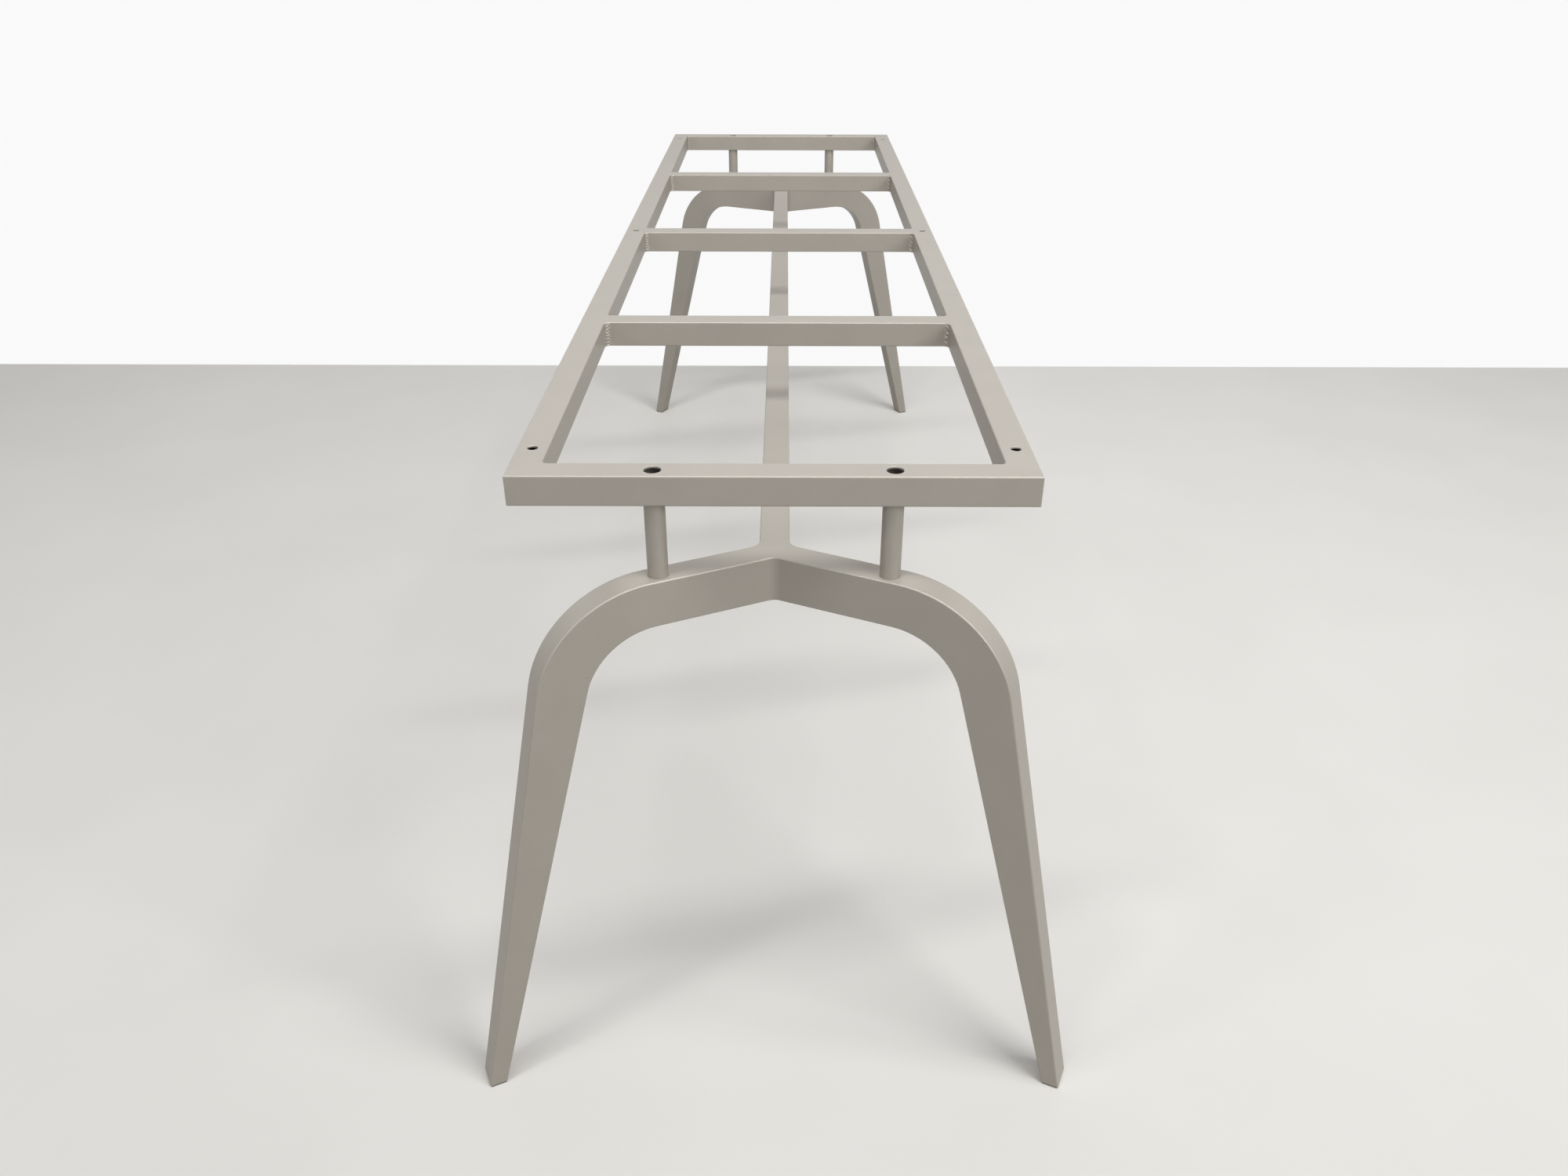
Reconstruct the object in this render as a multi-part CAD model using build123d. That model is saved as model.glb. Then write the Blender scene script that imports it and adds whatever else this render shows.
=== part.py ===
from build123d import *
import os
from math import acos, atan2, cos, degrees, hypot, radians, sin, tan

# Welded steel table base: two wishbone leg pairs on a spine carry a ladder frame on four round posts.
# Millimetres. Origin on the floor under the middle, +Z up, length along Y, front end at -Y.

# Ladder frame of square tube
table_height = 700.0
frame_length = 1900.0
frame_width = 485.0
tube_size = 30.0
tube_wall = 2.0
tube_corner = 1.5
mitre_ease = 1.0
inner_weld_radius = 5.0
bar_pitch = 475.0

# Holes for the screws that hold a table top, and the rim that the coating rounds off
fixing_hole = 10.0
fixing_inset = 65.0
hole_ease = 0.5

# Round posts and the screws through them
post_diameter = 20.0
post_length = 78.0
post_spacing = 220.0
post_ease = 0.4
access_hole = 16.0
screw_diameter = 8.0
screw_length = 100.0
screw_hole_clearance = 1.0
head_diameter = 13.0
head_height = 8.0
head_ease = 0.6
socket_flats = 6.0
socket_depth = 4.0
nut_flats = 13.0
nut_height = 6.5
thread_gap = 0.05

# Wishbone legs: horizontal arm, round knee, tapered leg
splay_angle = 25.0
arm_height = 48.0
leg_thickness = 30.0
leg_wall = 3.0
knee_start = 127.0
knee_radius = 122.0
inner_knee_start = 123.0
inner_knee_radius = 76.0
foot_reach = 348.0
foot_width = 19.0
crease_radius = 12.0
edge_radius = 1.5

# Spine between the leg pairs
spine_width = 30.0
spine_wall = 3.0
spine_fillet = 16.0

# Pads glued under the feet
glide_thickness = 2.0
glide_inset = 0.7

# Levels and places that follow from the sizes above
rail_bottom = table_height - tube_size
arm_top = rail_bottom - post_length
arm_bottom = arm_top - arm_height
foot_bottom = glide_thickness
post_x = post_spacing / 2
post_y = (frame_length - tube_size) / 2
rail_x = (frame_width - tube_size) / 2
screw_hole = screw_diameter + screw_hole_clearance
splay = radians(splay_angle)
along_arm = Vector(cos(splay), -sin(splay), 0)
across_arm = Vector(sin(splay), cos(splay), 0)
# The front faces of a leg pair meet at the crease; each arm's middle plane runs through its post.
crease_y = -post_y + post_x * tan(splay) - leg_thickness / 2 / cos(splay)
reach = frame_length + frame_width


def place(x, y, z):
    return Location((x, y, z))


def bar(width, depth, height, x, y, z):
    """Box centred in plan on x, y, standing on level z."""
    return place(x, y, z) * Box(width, depth, height, align=(Align.CENTER, Align.CENTER, Align.MIN))


def rod(diameter, height, x, y, z):
    """Upright cylinder standing on level z."""
    return place(x, y, z) * Cylinder(diameter / 2, height, align=(Align.CENTER, Align.CENTER, Align.MIN))


def hexagon(flats, height, x, y, z):
    return place(x, y, z) * extrude(RegularPolygon(flats / 2, 6, major_radius=False), amount=height)


def ring(outset, inset_radius, low, height):
    """Rectangular ring along the rails, its walls moved outwards by outset (negative goes inwards)."""
    outer = Rectangle(frame_width + 2 * outset, frame_length + 2 * outset)
    gap_width = frame_width - 2 * tube_size - 2 * outset
    gap_length = frame_length - 2 * tube_size - 2 * outset
    gap = Rectangle(gap_width, gap_length)
    if inset_radius > 0:
        gap = RectangleRounded(gap_width, gap_length, inset_radius)
    return place(0, 0, low) * extrude(outer - gap, amount=height)


# Ladder frame: four mitred rails, with the inner corners filled and ground, and three cross bars
def frame_ring():
    """Outside of the four rails together, as solid bars."""
    body = ring(0, inner_weld_radius, rail_bottom, tube_size)
    long_edges = body.edges().filter_by(Axis.Z, reverse=True)
    body = fillet(long_edges, tube_corner)
    plan = RectangleRounded(frame_width, frame_length, mitre_ease)
    return body & (place(0, 0, rail_bottom) * extrude(plan, amount=tube_size))


def rail_region(side_x, side_y):
    """Space of one rail, ended by the 45 degree mitres."""
    depth = tube_size + inner_weld_radius
    half_x = frame_width / 2
    half_y = frame_length / 2
    if side_x:
        ends = [
            (side_x * half_x, -half_y),
            (side_x * half_x, half_y),
            (side_x * (half_x - depth), half_y - depth),
            (side_x * (half_x - depth), depth - half_y),
        ]
    else:
        ends = [
            (-half_x, side_y * half_y),
            (half_x, side_y * half_y),
            (half_x - depth, side_y * (half_y - depth)),
            (depth - half_x, side_y * (half_y - depth)),
        ]
    outline = make_face(Polyline(*ends, close=True))
    return place(0, 0, rail_bottom) * extrude(outline, amount=tube_size)


def eased_rims(body):
    rims = body.edges().filter_by(GeomType.CIRCLE).group_by(Axis.Z)[-1]
    return chamfer(rims, hole_ease)


frame_outside = frame_ring()
frame_tubes = frame_outside - ring(-tube_wall, 0, rail_bottom + tube_wall, tube_size - 2 * tube_wall)
parts = {}

fixing_y = frame_length / 2 - fixing_inset
for name, side in (("left", -1), ("right", 1)):
    rail = frame_tubes & rail_region(side, 0)
    for y in (-fixing_y, 0, fixing_y):
        rail -= rod(fixing_hole, tube_size, side * rail_x, y, rail_bottom)
    parts[name + "_side_rail"] = eased_rims(rail)

for name, side in (("front", -1), ("rear", 1)):
    rail = frame_tubes & rail_region(0, side)
    for x in (-post_x, post_x):
        rail -= rod(screw_hole, tube_wall, x, side * post_y, rail_bottom)
        rail -= rod(access_hole, tube_wall, x, side * post_y, table_height - tube_wall)
    parts[name + "_end_rail"] = eased_rims(rail)

# Each cross bar's end is coped over the rail's rounded corner, where the weld is ground flush.
cope_depth = 0.7 * tube_corner
bar_length = frame_width - 2 * tube_size + 2 * cope_depth
bar_bore = tube_size - 2 * tube_wall
bar_section = RectangleRounded(tube_size, tube_size, tube_corner) - Rectangle(bar_bore, bar_bore)
bar_tube = Rot(0, 90, 0) * extrude(bar_section, amount=bar_length / 2, both=True)
for name, step in (("front", -1), ("middle", 0), ("rear", 1)):
    placed_bar = place(0, step * bar_pitch, rail_bottom + tube_size / 2) * bar_tube
    parts[name + "_cross_bar"] = placed_bar - frame_outside


# Wishbone legs and spine: one flowing outside, then parted at the welds
def tangent_angle(centre, radius, point):
    """Direction, in radians, from the centre to where a line from the point touches the circle's outside."""
    gap_x = point[0] - centre[0]
    gap_y = point[1] - centre[1]
    return atan2(gap_y, gap_x) + acos(radius / hypot(gap_x, gap_y))


def touch_point(centre, radius, angle):
    return (centre[0] + radius * cos(angle), centre[1] + radius * sin(angle))


def leg_profile(inset):
    """Side view of a leg: along the arm from the crease, and up. Inset moves every wall inwards."""
    start = -leg_thickness
    top = arm_top - inset
    bottom = arm_bottom + inset
    outer_centre = (knee_start, arm_top - knee_radius)
    inner_centre = (inner_knee_start, arm_bottom - inner_knee_radius)
    outer_radius = knee_radius - inset
    inner_radius = inner_knee_radius + inset
    outer_angle = tangent_angle(outer_centre, knee_radius, (foot_reach, foot_bottom))
    inner_angle = tangent_angle(inner_centre, inner_knee_radius, (foot_reach - foot_width, foot_bottom))
    outer_touch = touch_point(outer_centre, outer_radius, outer_angle)
    inner_touch = touch_point(inner_centre, inner_radius, inner_angle)
    sole = foot_bottom + inset
    outer_foot = (outer_touch[0] + (outer_touch[1] - sole) * tan(outer_angle), sole)
    inner_foot = (inner_touch[0] + (inner_touch[1] - sole) * tan(inner_angle), sole)
    outer_arc = CenterArc(outer_centre, outer_radius, degrees(outer_angle), 90 - degrees(outer_angle))
    inner_arc = CenterArc(inner_centre, inner_radius, degrees(inner_angle), 90 - degrees(inner_angle))
    lines = [
        Line((start, top), (knee_start, top)),
        outer_arc,
        Line(outer_touch, outer_foot),
        Line(outer_foot, inner_foot),
        Line(inner_foot, inner_touch),
        inner_arc,
        Line((inner_knee_start, bottom), (start, bottom)),
        Line((start, bottom), (start, top)),
    ]
    return make_face(lines)


def leg_slab(inset):
    """Front right leg from its crease outwards, its walls moved inwards by inset."""
    origin = Vector(0, crease_y, 0) + across_arm * inset
    plane = Plane(origin=tuple(origin), x_dir=along_arm, z_dir=-across_arm)
    slab = extrude(plane * leg_profile(inset), amount=-(leg_thickness - 2 * inset))
    return slab & bar(reach, 2 * reach, table_height, reach / 2, 0, 0)


def four_ways(shape):
    """The shape of the front right corner, mirrored to all four corners."""
    left = mirror(shape, about=Plane.YZ)
    corners = {"front_right": shape, "front_left": left}
    corners["rear_right"] = mirror(shape, about=Plane.XZ)
    corners["rear_left"] = mirror(left, about=Plane.XZ)
    return corners


def is_outline(edge):
    """True for the long edges of legs and spine, which are rounded."""
    run = edge.tangent_at(0.5)
    upright = abs(run.Z) > 0.999 and edge.geom_type == GeomType.LINE
    across = max(abs(run.dot(across_arm)), abs(run.dot(Vector(-across_arm.X, across_arm.Y, 0)))) > 0.999
    at_sole = edge.center().Z < foot_bottom + edge_radius
    return not (upright or across or at_sole)


def base_outside():
    """Legs and spine as one rounded body."""
    spine_length = -2 * crease_y - leg_thickness
    body = bar(spine_width, spine_length, arm_height, 0, 0, arm_bottom)
    for slab in four_ways(leg_slab(0)).values():
        body += slab
    upright = body.edges().filter_by(Axis.Z)
    creases = upright.filter_by(lambda edge: abs(edge.center().X) < spine_width / 4)
    body = fillet(creases, crease_radius)
    upright = body.edges().filter_by(Axis.Z)
    corners = upright.filter_by(lambda edge: abs(abs(edge.center().X) - spine_width / 2) < 0.01)
    body = fillet(corners, spine_fillet)
    return fillet(body.edges().filter_by(is_outline), edge_radius)


def leg_region():
    """Space of the front right leg: right of the mitre and in front of its back face."""
    middle = Vector(0, crease_y, 0) + across_arm * (leg_thickness - reach / 2)
    turned = Location((middle.X, middle.Y, 0), (0, 0, -splay_angle))
    space = turned * Box(2 * reach, reach, table_height, align=(Align.CENTER, Align.CENTER, Align.MIN))
    return space & bar(reach, reach, table_height, reach / 2, -reach / 2, 0)


outside = base_outside()
hollow = four_ways(leg_slab(leg_wall))
spine = outside
for corner, region in four_ways(leg_region()).items():
    sign_x = 1 if "right" in corner else -1
    sign_y = 1 if "rear" in corner else -1
    leg = (outside & region) - hollow[corner]
    leg -= rod(screw_hole, leg_wall, sign_x * post_x, sign_y * post_y, arm_top - leg_wall)
    parts[corner + "_leg"] = leg
    spine -= region
spine_bore_height = arm_height - 2 * spine_wall
parts["spine"] = spine - bar(spine_width - 2 * spine_wall, reach, spine_bore_height, 0, 0, arm_bottom + spine_wall)


# Posts between arms and end rails, with their screws and nuts
def post(x, y):
    body = rod(post_diameter, post_length, x, y, arm_top)
    body = chamfer(body.edges().filter_by(GeomType.CIRCLE), post_ease)
    return body - rod(screw_hole, post_length, x, y, arm_top)


def screw(x, y):
    seat = rail_bottom + tube_wall
    head = rod(head_diameter, head_height, x, y, seat)
    head = chamfer(head.edges().filter_by(GeomType.CIRCLE).group_by(Axis.Z)[-1], head_ease)
    head -= hexagon(socket_flats, socket_depth, x, y, seat + head_height - socket_depth)
    return head + rod(screw_diameter - 2 * thread_gap, screw_length, x, y, seat - screw_length)


def nut(x, y):
    seat = arm_top - leg_wall - nut_height
    return hexagon(nut_flats, nut_height, x, y, seat) - rod(screw_diameter, nut_height, x, y, seat)


screws = []
nuts = []
for corner in hollow:
    x = post_x if "right" in corner else -post_x
    y = post_y if "rear" in corner else -post_y
    parts[corner + "_post"] = post(x, y)
    screws.append(screw(x, y))
    nuts.append(nut(x, y))
parts["post_screws"] = Compound(screws)
parts["arm_nuts"] = Compound(nuts)


# Pads under the feet
def glide():
    length = foot_width - 2 * glide_inset
    width = leg_thickness - 2 * glide_inset
    centre = Vector(0, crease_y, 0) + along_arm * (foot_reach - foot_width / 2) + across_arm * (leg_thickness / 2)
    pad = extrude(RectangleRounded(length, width, edge_radius), amount=glide_thickness)
    return Location((centre.X, centre.Y, 0), (0, 0, -splay_angle)) * pad


for corner, pad in four_ways(glide()).items():
    parts[corner + "_glide"] = pad

os.makedirs("parts", exist_ok=True)
for name, solid in parts.items():
    export_step(solid, "parts/" + name + ".step")
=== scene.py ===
"""Looks of a welded steel table base: tube ladder frame, wishbone legs and spine in taupe powder coat."""
import math

import bmesh
import bpy
from mathutils import Matrix, Vector, noise


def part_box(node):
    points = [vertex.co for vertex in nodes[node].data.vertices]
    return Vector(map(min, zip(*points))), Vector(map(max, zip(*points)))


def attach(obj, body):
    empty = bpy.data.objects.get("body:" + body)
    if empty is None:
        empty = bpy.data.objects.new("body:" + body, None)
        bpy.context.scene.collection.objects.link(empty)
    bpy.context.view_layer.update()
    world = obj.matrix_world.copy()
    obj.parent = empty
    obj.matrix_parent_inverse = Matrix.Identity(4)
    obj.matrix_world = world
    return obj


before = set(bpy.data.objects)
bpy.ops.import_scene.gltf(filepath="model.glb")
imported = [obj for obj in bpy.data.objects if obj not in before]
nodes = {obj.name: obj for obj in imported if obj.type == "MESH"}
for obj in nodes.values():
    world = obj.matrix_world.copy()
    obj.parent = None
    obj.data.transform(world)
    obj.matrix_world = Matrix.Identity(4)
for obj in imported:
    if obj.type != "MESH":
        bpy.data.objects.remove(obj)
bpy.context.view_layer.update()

# Ladder frame
# Four mitred rails and three cross bars of square steel tube, welded, ground flush on top and then
# sprayed with taupe powder that was melted on in an oven. The skin keeps a fine orange peel.
MM = 0.001
RAILS = ("left_side_rail", "right_side_rail", "front_end_rail", "rear_end_rail")
CROSS_BARS = ("front_cross_bar", "middle_cross_bar", "rear_cross_bar")
COAT_DEEP = (0.385, 0.356, 0.312, 1.0)
COAT_PALE = (0.430, 0.400, 0.353, 1.0)
COAT_FLAKE = (0.57, 0.54, 0.50, 1.0)
COAT_ROUGHNESS = (0.42, 0.51)
COAT_METALLIC = (0.15, 0.53)
FLAKE_SIZE = 0.35 * MM
FLAKE_SHARE = 0.22
CLOUD_SIZE = 45 * MM
CLOUD_DETAIL = 3.0
PEEL_GRAIN = 1.3 * MM
PEEL_DEPTH = 0.012 * MM
PEEL_DETAIL = 2.0

# The colour sockets of a Mix node share their names with its other sockets, so they go by number.
MIX_COLOUR_A = 6
MIX_COLOUR_B = 7
MIX_COLOUR_RESULT = 2


def add_node(tree, kind, inputs=None, **settings):
    """Adds a shader node. An input given as a socket is linked to it, any other is its value."""
    made = tree.nodes.new(kind)
    for name, value in settings.items():
        setattr(made, name, value)
    for name, value in (inputs or {}).items():
        if isinstance(value, bpy.types.NodeSocket):
            tree.links.new(value, made.inputs[name])
        else:
            made.inputs[name].default_value = value
    return made


def calculated(tree, operation, first, second):
    """Works out one value from two."""
    return add_node(tree, "ShaderNodeMath", {0: first, 1: second}, operation=operation).outputs[0]


def spread(tree, value, low, high, start=0.0, end=1.0, ease="LINEAR"):
    """Maps a value that runs from start to end onto the range from low to high."""
    ends = {"Value": value, "From Min": start, "From Max": end, "To Min": low, "To Max": high}
    return add_node(tree, "ShaderNodeMapRange", ends, interpolation_type=ease).outputs[0]


def blended(tree, share, first, second):
    """Mixes two colours, from the first at share 0 to the second at share 1."""
    inputs = {"Factor": share, MIX_COLOUR_A: first, MIX_COLOUR_B: second}
    return add_node(tree, "ShaderNodeMix", inputs, data_type="RGBA").outputs[MIX_COLOUR_RESULT]


def sprayed_skin_group():
    """Peel height, colour clouds and flakes of a sprayed, plated or moulded skin, with sizes in metres."""
    tree = bpy.data.node_groups.new("sprayed_skin", "ShaderNodeTree")
    sizes = ("Grain", "Cloud", "Flake")
    for size in sizes:
        tree.interface.new_socket(size, in_out="INPUT", socket_type="NodeSocketFloat")
    for effect in ("Peel", "Clouds", "Flakes"):
        tree.interface.new_socket(effect, in_out="OUTPUT", socket_type="NodeSocketFloat")
    given = add_node(tree, "NodeGroupInput").outputs
    scales = {size: calculated(tree, "DIVIDE", 1.0, given[size]) for size in sizes}
    place = add_node(tree, "ShaderNodeTexCoord").outputs["Object"]
    peel_look = {"Vector": place, "Scale": scales["Grain"], "Detail": PEEL_DETAIL}
    peel = add_node(tree, "ShaderNodeTexNoise", peel_look)
    cloud_look = {"Vector": place, "Scale": scales["Cloud"], "Detail": CLOUD_DETAIL}
    clouds = add_node(tree, "ShaderNodeTexNoise", cloud_look)
    cells = add_node(tree, "ShaderNodeTexVoronoi", {"Vector": place, "Scale": scales["Flake"]})
    flakes = add_node(tree, "ShaderNodeSeparateColor", {"Color": cells.outputs["Color"]})
    effects = {"Peel": peel.outputs[0], "Clouds": clouds.outputs[0], "Flakes": flakes.outputs[0]}
    add_node(tree, "NodeGroupOutput", effects)
    return tree


sprayed_skin = sprayed_skin_group()


def skin_of(tree, cloud, grain=PEEL_GRAIN, flake=FLAKE_SIZE):
    """Places the sprayed skin in a material, with its sizes in metres, and gives its effects."""
    sizes = {"Cloud": cloud, "Grain": grain, "Flake": flake}
    return add_node(tree, "ShaderNodeGroup", sizes, node_tree=sprayed_skin).outputs


def new_material(name):
    """Makes a material, and gives it with its node tree and its shader."""
    material = bpy.data.materials.new(name)
    material.use_nodes = True
    return material, material.node_tree, material.node_tree.nodes["Principled BSDF"]


def powder_coat_material():
    """Satin taupe powder coat with a fine metal flake."""
    material, tree, shader = new_material("powder_coat_satin")
    skin = skin_of(tree, CLOUD_SIZE)
    tone = blended(tree, skin["Clouds"], COAT_DEEP, COAT_PALE)
    glint = spread(tree, skin["Flakes"], 0.0, FLAKE_SHARE)
    tree.links.new(blended(tree, glint, tone, COAT_FLAKE), shader.inputs["Base Color"])
    tree.links.new(spread(tree, skin["Clouds"], *COAT_ROUGHNESS), shader.inputs["Roughness"])
    tree.links.new(spread(tree, skin["Flakes"], *COAT_METALLIC), shader.inputs["Metallic"])
    bump = add_node(tree, "ShaderNodeBump", {"Height": skin["Peel"], "Distance": PEEL_DEPTH})
    tree.links.new(bump.outputs[0], shader.inputs["Normal"])
    return material


def finish_node(name, material):
    """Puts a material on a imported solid."""
    nodes[name].data.materials.clear()
    nodes[name].data.materials.append(material)


powder_coat = powder_coat_material()
for rail in RAILS + CROSS_BARS:
    finish_node(rail, powder_coat)

# Cross bar welds
# Upright fillet beads of weld metal, four to a cross bar, fill the corners where it meets the side rails.
# They are left as they were laid, coin on coin, with flush ground ends, and coated with the rest.
FRONT_FILLET = 6.6 * MM
BACK_FILLET = 5.6 * MM
FILLET_HOLLOW = 0.12
FILLET_WANDER = 0.5 * MM
WANDER_LENGTH = 5 * MM
BEAD_SINK = 1.7 * MM
END_ROUND = 1.5 * MM
END_GAP = 0.02 * MM
BEAD_STEPS = 84
BEAD_SIDES = 18
SHARP_ANGLE = math.radians(50)

# A coin's pitch is its length along the bead. Its height is a share of the pitch, and its curl and drift
# are shares of a coin.
FINE_PITCH = 4.1 * MM
COARSE_PITCH = 6.8 * MM
COIN_HEIGHT = 0.22
COIN_MIDDLE = 0.35
COIN_RISE = 0.7
COIN_FALL = 6
COIN_CREST = 0.65
COIN_CURL = 0.8
COIN_DRIFT = 0.45
DRIFT_LENGTH = 9 * MM
SMALLEST_COIN = 0.6
COIN_VARIETY = 0.8

# Rows and lanes of the noise that keep a bead's width, drift and coin sizes apart, and seeds that keep
# the beads apart.
WIDTH_ROW = 3.0
WIDTH_LANE = 5.0
DRIFT_LANE = 1.5
SIZE_ROW = 7.0
SIZE_LANE = 2.0
BAR_SEED = 0.37
SIDE_SEED = 0.21
FACING_SEED = 0.11


def wandering(along, row, lane):
    """A smooth value between about -1 and 1, the same on every run."""
    return noise.noise(Vector((along, row, lane)))


def coin_wave(phase):
    """Height of one overlapping weld coin, from 0 to about 1: a slow rise and a quick fall."""
    turn = phase - math.floor(phase)
    return turn ** COIN_RISE * (1.0 - turn ** COIN_FALL) / COIN_CREST


def end_inset(along, length):
    """How far a bead draws back near its two ends, like the round edges of the tubes beside it."""
    into_end = max(0.0, END_ROUND - min(along, length - along))
    return END_ROUND - math.sqrt(END_ROUND ** 2 - into_end ** 2)


def bead_outline(along, on_rail, on_bar, fillet, pitch, seed):
    """Points round a bead at one height: a hollow, coined front and a back that is sunk into both tubes."""
    outwards = (on_rail + on_bar).normalized()
    reach = fillet + FILLET_WANDER * wandering(along / WANDER_LENGTH, WIDTH_ROW * seed, WIDTH_LANE)
    size = SMALLEST_COIN + COIN_VARIETY * abs(wandering(along / pitch, SIZE_ROW + seed, SIZE_LANE))
    points = []
    for side in range(BEAD_SIDES + 1):
        share = side / BEAD_SIDES
        curl = COIN_CURL * (2.0 * share - 1.0) ** 2
        drift = COIN_DRIFT * wandering(along / DRIFT_LENGTH, seed, DRIFT_LANE * share)
        coin = coin_wave(along / pitch - curl + drift + seed)
        rise = COIN_HEIGHT * pitch * size * (coin - COIN_MIDDLE) * math.sin(math.pi * share)
        bend = 2.0 * share * (1.0 - share) * FILLET_HOLLOW
        front = on_rail * ((1.0 - share) ** 2 + bend) + on_bar * (share ** 2 + bend)
        points.append(front * reach + outwards * rise)
    points.append(on_bar * reach - on_rail * BEAD_SINK)
    points.append(-(on_rail + on_bar) * BEAD_SINK)
    points.append(on_rail * reach - on_bar * BEAD_SINK)
    return points


def weld_bead(bm, foot, length, on_rail, on_bar, fillet, pitch, seed):
    """Adds a closed upright bead in the corner between a rail and a bar, with closer rings at its ends."""
    rings = []
    for step in range(BEAD_STEPS + 1):
        along = length * 0.5 * (1.0 - math.cos(math.pi * step / BEAD_STEPS))
        level = foot + Vector((0, 0, along)) - (on_rail + on_bar) * end_inset(along, length)
        outline = bead_outline(along, on_rail, on_bar, fillet, pitch, seed)
        rings.append([bm.verts.new(level + point) for point in outline])
    count = len(rings[0])
    for low, high in zip(rings, rings[1:]):
        for side in range(count):
            after = (side + 1) % count
            bm.faces.new((low[side], low[after], high[after], high[side]))
    bm.faces.new(rings[0][::-1])
    bm.faces.new(rings[-1])


def bead_piece(name, bm):
    """Turns the beads of one bar into a smooth, coated piece that rides with the base."""
    bmesh.ops.recalc_face_normals(bm, faces=bm.faces)
    mesh = bpy.data.meshes.new(name)
    bm.to_mesh(mesh)
    bm.free()
    mesh.materials.append(powder_coat)
    mesh.shade_smooth()
    mesh.set_sharp_from_angle(angle=SHARP_ANGLE)
    piece = bpy.data.objects.new(name, mesh)
    bpy.context.scene.collection.objects.link(piece)
    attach(piece, "root")


rail_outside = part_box("right_side_rail")[1].x
for number, bar in enumerate(CROSS_BARS):
    bar_low, bar_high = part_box(bar)
    tube = bar_high.z - bar_low.z
    rail_face = rail_outside - tube
    length = tube - 2 * END_GAP
    beads = bmesh.new()
    for side, pitch in ((-1, FINE_PITCH), (1, COARSE_PITCH)):
        for facing, face_y, fillet in ((-1, bar_low.y, FRONT_FILLET), (1, bar_high.y, BACK_FILLET)):
            foot = Vector((side * rail_face, face_y, bar_low.z + END_GAP))
            on_rail = Vector((0, facing, 0))
            on_bar = Vector((-side, 0, 0))
            seed = BAR_SEED * number + SIDE_SEED * side + FACING_SEED * facing
            weld_bead(beads, foot, length, on_rail, on_bar, fillet, pitch, seed)
    bead_piece(bar + "_welds", beads)

# Wishbone legs and spine
# Each leg is a box of steel plate: a level arm, a round knee and a tapered leg. Pairs are mitred at the
# hub, welded to the spine tube, blended with a grinder and coated, so that no seam shows.
CORNERS = ("front_left", "front_right", "rear_left", "rear_right")

for corner in CORNERS:
    finish_node(corner + "_leg", powder_coat)
finish_node("spine", powder_coat)

# Spacer posts
# Short lengths of round steel tube, cut square, coated like the rest and clamped between arm and end
# rail by the screw inside.
for corner in CORNERS:
    finish_node(corner + "_post", powder_coat)

# Post screws and arm nuts
# Zinc plated socket head screws, dropped through the holes on top of the end rails. Each one runs down
# through a post into a nut welded inside the arm, and clamps the frame onto the legs.
ZINC_DULL = (0.30, 0.30, 0.29, 1.0)
ZINC_BRIGHT = (0.48, 0.48, 0.46, 1.0)
ZINC_ROUGHNESS = (0.28, 0.44)
ZINC_CLOUD = 4 * MM
ZINC_GRAIN = 0.6 * MM


def zinc_material():
    """Thin zinc plate, clouded from its bath."""
    material, tree, shader = new_material("zinc_plate")
    skin = skin_of(tree, ZINC_CLOUD, ZINC_GRAIN)
    tree.links.new(blended(tree, skin["Clouds"], ZINC_DULL, ZINC_BRIGHT), shader.inputs["Base Color"])
    tree.links.new(spread(tree, skin["Peel"], *ZINC_ROUGHNESS), shader.inputs["Roughness"])
    shader.inputs["Metallic"].default_value = 1.0
    return material


zinc_plate = zinc_material()
finish_node("post_screws", zinc_plate)
finish_node("arm_nuts", zinc_plate)

# Foot glides
# Thin black plastic pads, moulded with a matte grain and glued under the feet to save the floor.
GLIDE_BLACK = (0.016, 0.016, 0.016, 1.0)
GLIDE_GREY = (0.035, 0.034, 0.033, 1.0)
GLIDE_ROUGHNESS = (0.55, 0.75)
GLIDE_CLOUD = 6 * MM
GLIDE_GRAIN = 0.5 * MM
GLIDE_GRAIN_DEPTH = 0.05 * MM


def glide_material():
    """Black plastic with a moulded grain."""
    material, tree, shader = new_material("glide_plastic")
    skin = skin_of(tree, GLIDE_CLOUD, GLIDE_GRAIN)
    tree.links.new(blended(tree, skin["Clouds"], GLIDE_BLACK, GLIDE_GREY), shader.inputs["Base Color"])
    tree.links.new(spread(tree, skin["Peel"], *GLIDE_ROUGHNESS), shader.inputs["Roughness"])
    bump = add_node(tree, "ShaderNodeBump", {"Height": skin["Peel"], "Distance": GLIDE_GRAIN_DEPTH})
    tree.links.new(bump.outputs[0], shader.inputs["Normal"])
    return material


glide_plastic = glide_material()
for corner in CORNERS:
    finish_node(corner + "_glide", glide_plastic)

# Studio floor and backdrop
# A pale mottled floor that grows paler up to a line behind the base, as painted light, and a white sheet
# lying beyond it.
# The floor fades into white all round, and throws back less light than it shows.
FLOOR_DEEP = (0.735, 0.72, 0.69, 1.0)
FLOOR_PALE = (0.805, 0.79, 0.76, 1.0)
FLOOR_BOUNCE = (0.32, 0.302, 0.276, 1.0)
FLOOR_ROUGHNESS = 0.6
FLOOR_GLOSS = 0.25
FLOOR_CLOUD = 350 * MM
FLOOR_HALF = 9.0
FLOOR_FRONT = -1.6
BACKDROP_LINE = 1.385
# Painted light: the floor's colour is scaled from the near share at the front to the far share at the
# backdrop line.
NEAR_PAINTED_SHADE = 0.87
FAR_PAINTED_LIGHT = 1.24
FADE_NEAR = 2.6
FADE_FAR = 4.6
SHEET_WHITE = (0.85, 0.85, 0.85, 1.0)
SHEET_ROUGHNESS = 0.8
WHITE_LEVEL = 0.95


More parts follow.
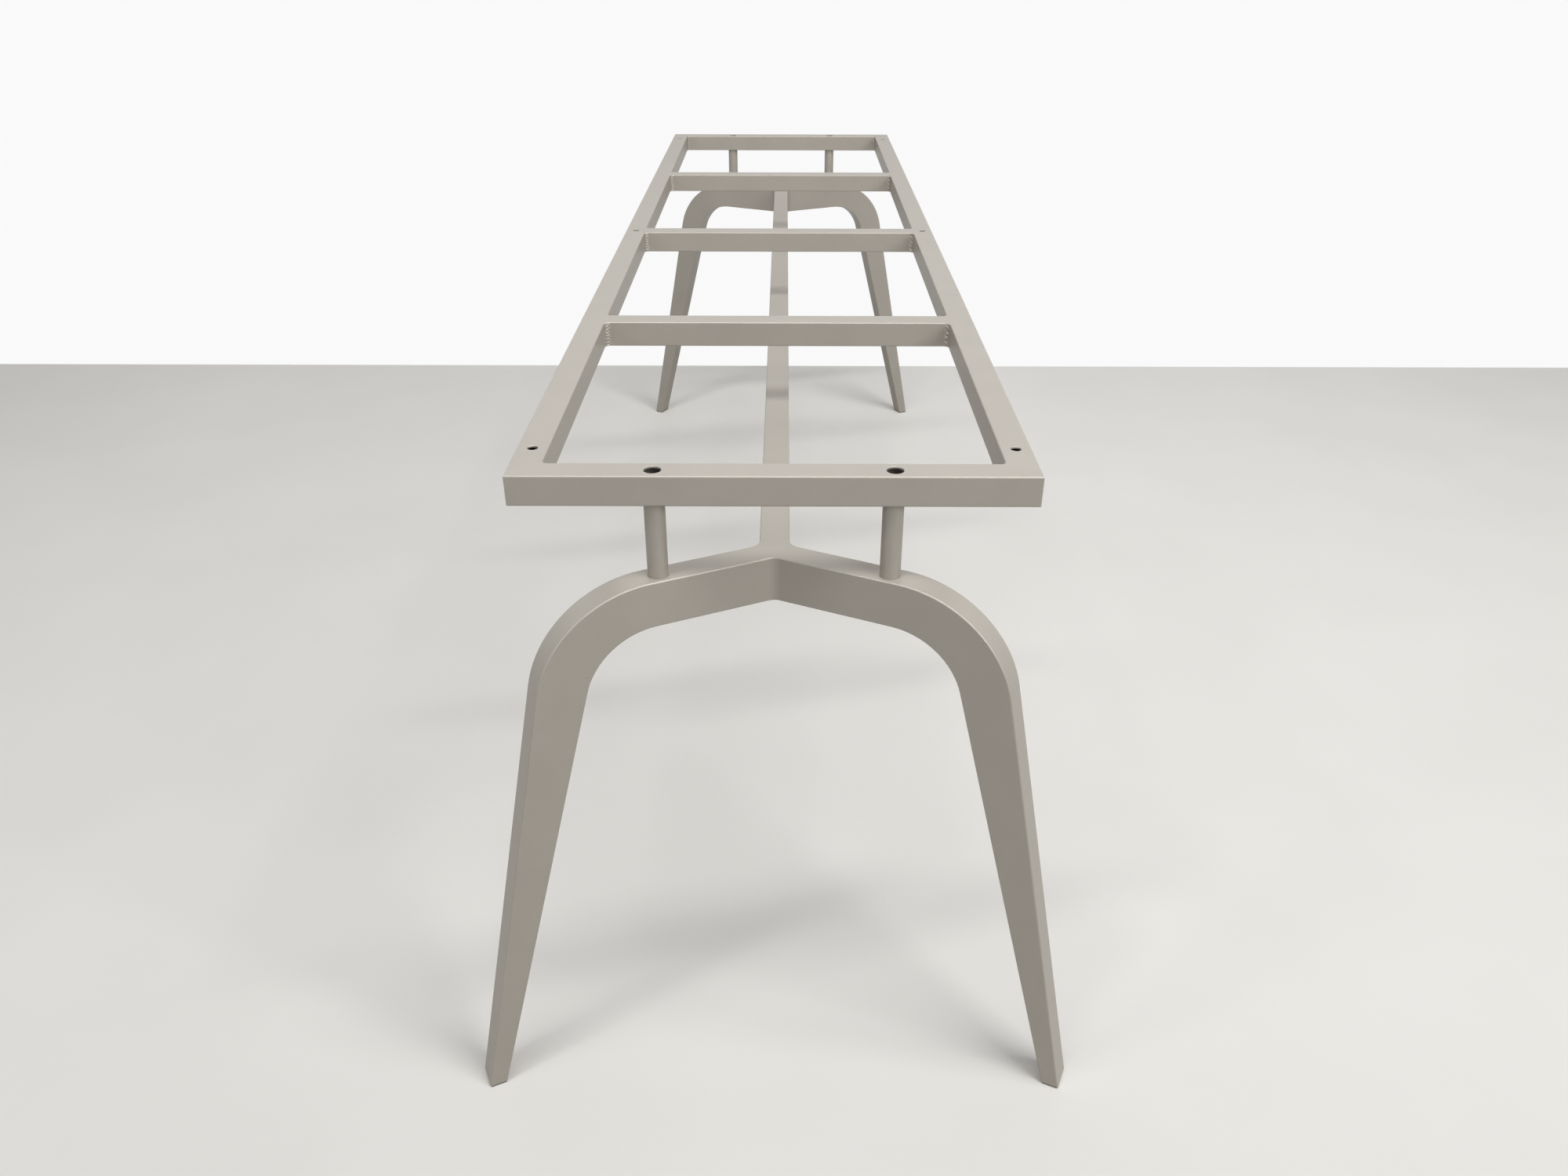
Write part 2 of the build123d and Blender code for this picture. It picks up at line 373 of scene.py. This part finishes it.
def flat_sheet(name, near, far, material):
    """Lays a wide sheet at floor level, as stage and not as part of the base."""
    corners = [(-FLOOR_HALF, near), (FLOOR_HALF, near), (FLOOR_HALF, far), (-FLOOR_HALF, far)]
    mesh = bpy.data.meshes.new(name)
    mesh.from_pydata([(x, y, 0.0) for x, y in corners], [], [(0, 1, 2, 3)])
    mesh.materials.append(material)
    sheet = bpy.data.objects.new(name, mesh)
    bpy.context.scene.collection.objects.link(sheet)


def seen_directly(tree):
    """1 for rays from the camera and for those seen in a gloss or through glass, else 0."""
    path = add_node(tree, "ShaderNodeLightPath").outputs
    in_view = calculated(tree, "MAXIMUM", path["Is Camera Ray"], path["Is Glossy Ray"])
    return calculated(tree, "MAXIMUM", in_view, path["Is Transmission Ray"])


def show_white(tree, shader, share):
    """Shows even white in place of a material's shader, by the given share."""
    white = add_node(tree, "ShaderNodeEmission", {"Strength": WHITE_LEVEL})
    mix = add_node(tree, "ShaderNodeMixShader", {0: share, 1: shader.outputs[0], 2: white.outputs[0]})
    tree.links.new(mix.outputs[0], tree.nodes["Material Output"].inputs["Surface"])


def floor_material():
    """Mottled floor that grows paler towards the back as painted light, and turns white far from the base.
    """
    material, tree, shader = new_material("pale_floor")
    in_sight = seen_directly(tree)
    place = add_node(tree, "ShaderNodeTexCoord").outputs["Object"]
    mottled = blended(tree, skin_of(tree, FLOOR_CLOUD)["Clouds"], FLOOR_DEEP, FLOOR_PALE)
    depth = add_node(tree, "ShaderNodeSeparateXYZ", {0: place}).outputs["Y"]
    shade = spread(tree, depth, NEAR_PAINTED_SHADE, FAR_PAINTED_LIGHT, FLOOR_FRONT, BACKDROP_LINE)
    shaded = add_node(tree, "ShaderNodeVectorMath", {0: mottled, "Scale": shade}, operation="SCALE")
    tree.links.new(blended(tree, in_sight, FLOOR_BOUNCE, shaded.outputs[0]), shader.inputs["Base Color"])
    shader.inputs["Roughness"].default_value = FLOOR_ROUGHNESS
    shader.inputs["Specular IOR Level"].default_value = FLOOR_GLOSS
    distance = add_node(tree, "ShaderNodeVectorMath", {0: place}, operation="LENGTH").outputs["Value"]
    fade = spread(tree, distance, 0.0, 1.0, FADE_NEAR, FADE_FAR, "SMOOTHSTEP")
    show_white(tree, shader, calculated(tree, "MULTIPLY", fade, in_sight))
    return material


def backdrop_material():
    """White sheet that shows even white and lights the base no more than paper would."""
    material, tree, shader = new_material("white_backdrop")
    shader.inputs["Base Color"].default_value = SHEET_WHITE
    shader.inputs["Roughness"].default_value = SHEET_ROUGHNESS
    show_white(tree, shader, seen_directly(tree))
    return material


flat_sheet("floor", -FLOOR_HALF, BACKDROP_LINE, floor_material())
flat_sheet("backdrop", BACKDROP_LINE, FLOOR_HALF + BACKDROP_LINE, backdrop_material())

# Soft light
# A narrow strip lamp high over the front end draws the bright lines along the edges and the bars' shadows
# on the spine. Soft ones stand at the front right and, weaker, at the left, a wide one hangs over the back,
# and a pale room fills in.
ROOM_LIGHT = 0.10
ROOM_WHITE = (1.0, 1.0, 1.0, 1.0)


def soft_lamp(name, place, aim, width, depth, watts):
    """Hangs a rectangular lamp that faces a point."""
    data = bpy.data.lights.new(name, "AREA")
    data.shape = "RECTANGLE"
    data.size = width
    data.size_y = depth
    data.energy = watts
    lamp = bpy.data.objects.new(name, data)
    lamp.location = place
    lamp.rotation_euler = (Vector(aim) - Vector(place)).to_track_quat("-Z", "Y").to_euler()
    bpy.context.scene.collection.objects.link(lamp)


soft_lamp("strip_lamp", place=(0.3, -1.63, 4.3), aim=(0.0, -0.5, 0.5), width=4.2, depth=0.35, watts=114.0)
soft_lamp("right_lamp", place=(2.6, -3.0, 2.8), aim=(0.0, -0.6, 0.5), width=2.0, depth=2.0, watts=85.0)
soft_lamp("left_lamp", place=(-2.4, -2.3, 2.1), aim=(0.0, -0.7, 0.5), width=1.0, depth=1.0, watts=13.0)
soft_lamp("overhead_lamp", place=(0.0, 0.9, 3.3), aim=(0.0, 0.9, 0.0), width=4.5, depth=3.0, watts=22.0)

world = bpy.data.worlds.new("pale_room")
world.use_nodes = True
room = world.node_tree
background = room.nodes["Background"]
background.inputs["Color"].default_value = ROOM_WHITE
strength = spread(room, seen_directly(room), ROOM_LIGHT, WHITE_LEVEL)
room.links.new(strength, background.inputs["Strength"])
bpy.context.scene.world = world
bpy.context.scene.view_settings.view_transform = "Standard"

# Camera
# Stands at the front end, a little right of the middle, and looks down along the base.
CAMERA_PLACE = (0.0098, -1.9200, 1.1365)
CAMERA_TILT = math.radians(-29.590)
CAMERA_TURN = math.radians(0.018)
CAMERA_ROLL = math.radians(0.130)
LEVEL_VIEW = math.radians(90)
IMAGE_WIDTH_PX = 2000
FOCAL_LENGTH_PX = 1512.1
SENSOR_WIDTH = 36.0

camera_data = bpy.data.cameras.new("camera")
camera_data.sensor_fit = "HORIZONTAL"
camera_data.sensor_width = SENSOR_WIDTH
camera_data.lens = FOCAL_LENGTH_PX / IMAGE_WIDTH_PX * SENSOR_WIDTH
camera = bpy.data.objects.new("camera", camera_data)
turn = Matrix.Rotation(CAMERA_TURN, 4, "Z")
tilt = Matrix.Rotation(LEVEL_VIEW + CAMERA_TILT, 4, "X")
roll = Matrix.Rotation(CAMERA_ROLL, 4, "Z")
camera.matrix_world = Matrix.Translation(CAMERA_PLACE) @ turn @ tilt @ roll
bpy.context.scene.collection.objects.link(camera)
bpy.context.scene.camera = camera
